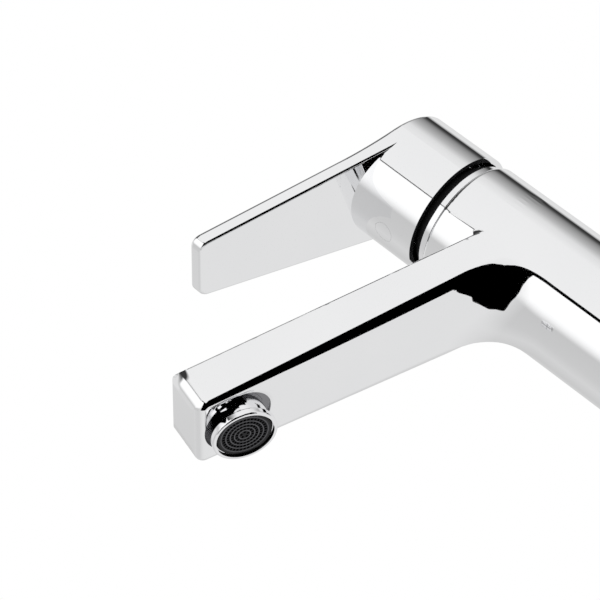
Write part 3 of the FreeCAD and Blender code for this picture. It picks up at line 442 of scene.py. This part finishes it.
def moulded(name, dark, light, roughness, grain=mould_grain):
    """Moulded plastic with a faint mottle and the mould's fine grain."""
    finish, flow = finish_named(name)
    place = flow.node("ShaderNodeTexCoord", out="Object")
    mottle = flow.node("ShaderNodeTexNoise", Vector=place, Scale=240.0, Detail=3.0)
    pores = flow.node("ShaderNodeTexNoise", Vector=place, Scale=pore_scale, Detail=2.0)
    bump = flow.node("ShaderNodeBump", Strength=0.6, Distance=grain, Height=pores)
    colour = mixed(flow, mottle, dark, light)
    shader = flow.node("ShaderNodeBsdfPrincipled", Base_Color=colour, Roughness=0.12 * mottle + roughness,
                       Normal=bump)
    flow.node("ShaderNodeOutputMaterial", Surface=shader)
    return finish


give(moulded("grille_plastic", (0.035, 0.035, 0.038), (0.07, 0.07, 0.074), 0.3), "aerator_strainer")
ridge_radii = [2.02, 3.52, 4.98, 6.49, 8.15]
ridge_half_width = 0.25
ramp_radius = 10.0
valley = (0.008, 0.008, 0.01)
# The paler colour on each rib's crest is a painted highlight.
painted_crest_highlight = (0.15, 0.15, 0.16)
ridge_stops = []
for ridge in ridge_radii:
    ridge_stops += [((ridge - ridge_half_width) / ramp_radius, valley), (ridge / ramp_radius, painted_crest_highlight),
                    ((ridge + ridge_half_width) / ramp_radius, valley)]
# Past the last rib the insert's rim is painted near-black: painted shade in the groove at the shell's mouth.
ridge_stops += [(0.87, (0.03, 0.03, 0.033)), (0.89, (0.002, 0.002, 0.002))]
grille, flow = finish_named("ringed_grille")
place = flow.node("ShaderNodeTexCoord", out="Object")
_, from_axis = from_aerator(flow, place)
ridges_with_painted_highlight = flow.node("ShaderNodeValToRGB", {"stops": ridge_stops}, Fac=from_axis * (1000 / ramp_radius))
pores = flow.node("ShaderNodeTexNoise", Vector=place, Scale=pore_scale, Detail=2.0)
bump = flow.node("ShaderNodeBump", Strength=0.6, Distance=mould_grain, Height=pores)
shader = flow.node("ShaderNodeBsdfPrincipled", Base_Color=ridges_with_painted_highlight, Roughness=0.1 * pores + 0.3, Normal=bump,
                   Specular_IOR_Level=0.2)
flow.node("ShaderNodeOutputMaterial", Surface=shader)
give(grille, "aerator_insert")


# Valve cartridge: moulded acetal shell, foot, carrier and turret, and lapped ceramic discs. It drops into the
# column and the brass nut clamps it; the red limit ring sits on the nut. The flow regulator is acetal too.
give(moulded("acetal_white", (0.74, 0.74, 0.72), (0.82, 0.82, 0.8), 0.35), "cartridge_housing",
     "cartridge_base", "disc_carrier", "turret", "aerator_regulator")
give(moulded("limit_red", (0.5, 0.03, 0.025), (0.6, 0.05, 0.04), 0.35), "limit_ring")
lapped_grain = 0.000004
give(moulded("lapped_ceramic", (0.83, 0.81, 0.77), (0.9, 0.89, 0.86), 0.12, lapped_grain), "fixed_disc",
     "moving_disc")


# Seals and clamp washer: moulded black nitrile rubber, dull with a dusty bloom. They lie in grooves, in the
# ports, on the aerator and under the deck, and are held by what is screwed down on them.
rubber_grain = 0.00004
give(moulded("seal_rubber", (0.012, 0.012, 0.012), (0.03, 0.03, 0.03), 0.6, rubber_grain), "aerator_seal",
     "port_seals", "cartridge_o_ring", "base_seal", "clamp_washer")


# Machined metal: brass nuts and stem straight from the lathe, and zinc-plated steel stud, pin, screw and
# plate. The stud screws into the body, and its nut draws the plate up against the deck.
def machined(name, dark, light, roughness):
    """Turned metal with fine tool lines round the part and a patchy sheen."""
    line_depth = 0.00001
    finish, flow = finish_named(name)
    place = flow.node("ShaderNodeTexCoord", out="Object")
    lines = flow.node("ShaderNodeTexWave", {"wave_type": "BANDS", "bands_direction": "Z"}, Vector=place,
                      Scale=900.0, Distortion=0.4, Detail=2.0)
    patch = flow.node("ShaderNodeTexNoise", Vector=place, Scale=160.0, Detail=4.0)
    bump = flow.node("ShaderNodeBump", Strength=0.5, Distance=line_depth, Height=lines)
    colour = mixed(flow, patch, dark, light)
    shader = flow.node("ShaderNodeBsdfPrincipled", Base_Color=colour, Metallic=1.0,
                       Roughness=0.18 * patch + roughness, Normal=bump)
    flow.node("ShaderNodeOutputMaterial", Surface=shader)
    return finish


give(machined("turned_brass", (0.6, 0.42, 0.17), (0.72, 0.53, 0.25), 0.22), "retaining_nut", "lever_stem",
     "fixing_nut")
give(machined("zinc_steel", (0.5, 0.5, 0.52), (0.66, 0.66, 0.67), 0.24), "grub_screw", "pivot_pin",
     "fixing_stud", "clamp_plate")


# Studio: a white cloth tent, brighter in front and falling off to a dark gap between the cloths behind, with
# one large softbox to the camera's left, a black flag below that the lower edges mirror, and a pale floor.
# Edges and levels go by azimuth in degrees: pairs of azimuth and elevation, or of azimuth and grey level.
studio_heart = Vector((0.0, -0.04, 0.09))
panel_reach = 0.6
flag_foot = -89.0
frame_foot = -30.0
frame_head = 24.0
frame_peak = 60.0
flag_edge = [(-144.0, -51.0), (-138.0, -48.3), (-133.0, -45.0), (-129.0, -41.0), (-126.0, -36.6),
             (-120.0, -32.0), (-113.0, -24.0), (-95.0, -26.3), (-65.0, -22.5), (-44.0, -13.0), (-36.0, -6.4),
             (-31.0, -3.0), (-29.6, -15.0), (-28.6, -22.0), (-26.0, -25.0), (-21.0, -25.5), (-8.6, -22.0),
             (26.0, -11.0)]


def toward(azimuth, elevation):
    """The direction at an azimuth and an elevation in degrees."""
    turn = math.radians(azimuth)
    rise = math.radians(elevation)
    return Vector((math.cos(rise) * math.cos(turn), math.cos(rise) * math.sin(turn), math.sin(rise)))


def smooth_edge(pairs, count):
    """Azimuths and elevations along a curve without corners through given pairs of them."""
    turns, tops = np.array(pairs).T
    runs = np.diff(turns)
    grades = np.diff(tops) / runs
    before = grades[:-1]
    after = grades[1:]
    level = before * after <= 0.0
    between = np.where(level, 0.0, 2.0 * before * after / np.where(level, 1.0, before + after))
    slopes = np.concatenate((grades[:1], between, grades[-1:]))
    azimuths = np.linspace(turns[0], turns[-1], count)
    span = np.clip(np.searchsorted(turns, azimuths, side="right") - 1, 0, len(runs) - 1)
    share = (azimuths - turns[span]) / runs[span]
    ease = share * share * (3.0 - 2.0 * share)
    lean = share * (1.0 - share) * ((1.0 - share) * slopes[span] - share * slopes[span + 1])
    return azimuths, tops[span] + (tops[span + 1] - tops[span]) * ease + runs[span] * lean


def only_mirrored(thing):
    """Let a piece of the studio show in reflections alone."""
    thing.visible_camera = False
    thing.visible_shadow = False
    thing.visible_diffuse = False


def arc_panel(name, low, top_edge, shade):
    """A panel of one grey bent round the object, from a level lower edge to a top edge given as pairs."""
    rows = 24
    columns = 480
    azimuths, elevations = smooth_edge(top_edge, columns + 1)
    points = []
    faces = []
    for row in range(rows + 1):
        for column in range(columns + 1):
            elevation = low + (elevations[column] - low) * row / rows
            points.append(studio_heart + toward(azimuths[column], elevation) * panel_reach)
            if row and column:
                corner = row * (columns + 1) + column
                faces.append((corner, corner - 1, corner - columns - 2, corner - columns - 1))
    mesh = bpy.data.meshes.new(name)
    mesh.from_pydata(points, [], faces)
    panel = bpy.data.objects.new(name, mesh)
    bpy.context.scene.collection.objects.link(panel)
    finish, flow = finish_named(name)
    surface = flow.node("ShaderNodeEmission", Color=(shade, shade, shade, 1.0), Strength=1.0)
    flow.node("ShaderNodeOutputMaterial", Surface=surface)
    mesh.materials.append(finish)
    only_mirrored(panel)


arc_panel("black_flag", flag_foot, flag_edge, 0.0)
arc_panel("softbox_frame", frame_foot, [(-34.5, frame_head), (-29.5, frame_head)], 0.0)
arc_panel("softbox_frame_top", frame_head, [(-32.5, frame_peak), (-30.9, frame_peak)], 0.05)

box_side = 1.3
box_distance = 2.0
box_level = 1.6
box_way = toward(-61.0, 45.0)
box_light = bpy.data.lights.new("softbox", "AREA")
box_light.shape = "RECTANGLE"
box_light.size = box_side
box_light.size_y = box_side
box_light.energy = box_level * math.pi * box_side * box_side
softbox = bpy.data.objects.new("softbox", box_light)
softbox.location = studio_heart + box_way * box_distance
softbox.rotation_euler = box_way.to_track_quat("Z", "Y").to_euler()
softbox.visible_camera = False
softbox.visible_glossy = False
bpy.context.scene.collection.objects.link(softbox)

floor_reach = 3.0
floor_level = -0.052
floor_corners = [(across * floor_reach, deep * floor_reach, floor_level)
                 for across, deep in ((-1, -1), (1, -1), (1, 1), (-1, 1))]
floor_mesh = bpy.data.meshes.new("floor")
floor_mesh.from_pydata(floor_corners, [], [(0, 1, 2, 3)])
floor = bpy.data.objects.new("floor", floor_mesh)
bpy.context.scene.collection.objects.link(floor)
pale, flow = finish_named("pale_floor")
behind = flow.node("ShaderNodeNewGeometry", out="Backfacing")
matt = flow.node("ShaderNodeBsdfDiffuse", Color=(0.9, 0.9, 0.9, 1.0))
clear = flow.node("ShaderNodeBsdfTransparent")
surface = flow.node("ShaderNodeMixShader", i0=behind, i1=matt, i2=clear)
flow.node("ShaderNodeOutputMaterial", Surface=surface)
floor_mesh.materials.append(pale)
floor.visible_glossy = False

cloth = [(-180.0, 0.62), (-150.0, 0.7), (-128.0, 0.63), (-88.0, 0.6), (-40.0, 0.92), (35.0, 0.9),
         (52.0, 0.78), (64.0, 0.5), (80.0, 0.26), (88.0, 0.06), (95.0, 0.02), (99.0, 0.5), (104.0, 0.8),
         (180.0, 0.62)]
ceiling = [(-180.0, 0.78), (-110.0, 0.78), (-60.0, 0.3), (-30.0, 0.04), (30.0, 0.04), (60.0, 0.2),
           (180.0, 0.78)]
box_glow = [(-92.0, 0.0), (-84.0, 0.55), (-78.0, 0.85), (-72.0, 1.0), (-34.5, 1.0), (-33.5, 0.0)]
tent_radius = 0.9
tent_mesh = bpy.data.meshes.new("tent")
work = bmesh.new()
bmesh.ops.create_uvsphere(work, u_segments=96, v_segments=48, radius=tent_radius)
work.to_mesh(tent_mesh)
work.free()
tent = bpy.data.objects.new("tent", tent_mesh)
tent.location = studio_heart
bpy.context.scene.collection.objects.link(tent)


def levels_round(flow, bearing, pairs):
    """Grey levels round the tent, from pairs of azimuth and level."""
    stops = [(azimuth / 360 + 0.5, level) for azimuth, level in pairs]
    return flow.node("ShaderNodeValToRGB", {"stops": stops}, Fac=bearing)


tent_cloth, flow = finish_named("tent_cloth")
spot = flow.node("ShaderNodeTexCoord", out="Object")
direction = flow.node("ShaderNodeVectorMath", {"operation": "NORMALIZE"}, i0=spot)
sideways = flow.node("ShaderNodeSeparateXYZ", out="X", Vector=direction)
backwards = flow.node("ShaderNodeSeparateXYZ", out="Y", Vector=direction)
upwards = flow.node("ShaderNodeSeparateXYZ", out="Z", Vector=direction)
bearing = flow.math("ARCTAN2", backwards, sideways) * (0.5 / math.pi) + 0.5
upper = flow.node("ShaderNodeMapRange", Value=upwards, i1=0.6, i2=0.74)
lower = flow.node("ShaderNodeMapRange", Value=upwards, i1=-0.15, i2=-0.6)
over_foot = flow.node("ShaderNodeMapRange", Value=upwards, i1=-0.55, i2=-0.45)
under_head = flow.node("ShaderNodeMapRange", Value=upwards, i1=0.9, i2=0.8)
walls = levels_round(flow, bearing, cloth)
covered = mixed(flow, upper, walls, levels_round(flow, bearing, ceiling))
in_box = levels_round(flow, bearing, box_glow) * over_foot * under_head
boxed = mixed(flow, in_box, covered, (1.1, 1.1, 1.1))
glow = flow.node("ShaderNodeEmission", Color=mixed(flow, lower, boxed, (0.8, 0.8, 0.8)), Strength=1.0)
flow.node("ShaderNodeOutputMaterial", Surface=glow)
tent_mesh.materials.append(tent_cloth)
only_mirrored(tent)

world = bpy.data.worlds.new("studio")
bpy.context.scene.world = world
world.use_nodes = True
world.node_tree.nodes.clear()
sky = Flow(world.node_tree, None)
white = sky.node("ShaderNodeBackground", Color=(1.0, 1.0, 1.0, 1.0), Strength=1.0)
soft = sky.node("ShaderNodeBackground", Color=(1.0, 1.0, 1.0, 1.0), Strength=0.65)
seen = sky.node("ShaderNodeLightPath", out="Is Camera Ray")
surround = sky.node("ShaderNodeMixShader", i0=seen, i1=soft, i2=white)
sky.node("ShaderNodeOutputWorld", Surface=surround)


# Camera at the photograph's viewing angle: from below and in front, turned on its side. It has a long lens
# and stands about a metre off, so the spout and the lever taper only a little.
azimuth = math.radians(57.94)
dip = math.radians(27.62)
roll = math.radians(52.1)
camera_place = (0.7580, -0.5409, -0.3580)
level = Vector((math.cos(azimuth), math.sin(azimuth), 0))
back = Vector((math.sin(azimuth) * math.cos(dip), -math.cos(azimuth) * math.cos(dip), -math.sin(dip)))
upright = back.cross(level)
right = level * math.cos(roll) - upright * math.sin(roll)
up = level * math.sin(roll) + upright * math.cos(roll)
turned = Matrix((right, up, back)).transposed()
lens = bpy.data.cameras.new("camera")
lens.lens = 180.0
lens.sensor_width = 36.0
camera = bpy.data.objects.new("camera", lens)
camera.matrix_world = Matrix.Translation(camera_place) @ turned.to_4x4()
bpy.context.scene.collection.objects.link(camera)
bpy.context.scene.camera = camera
bpy.context.scene.view_settings.view_transform = "Standard"
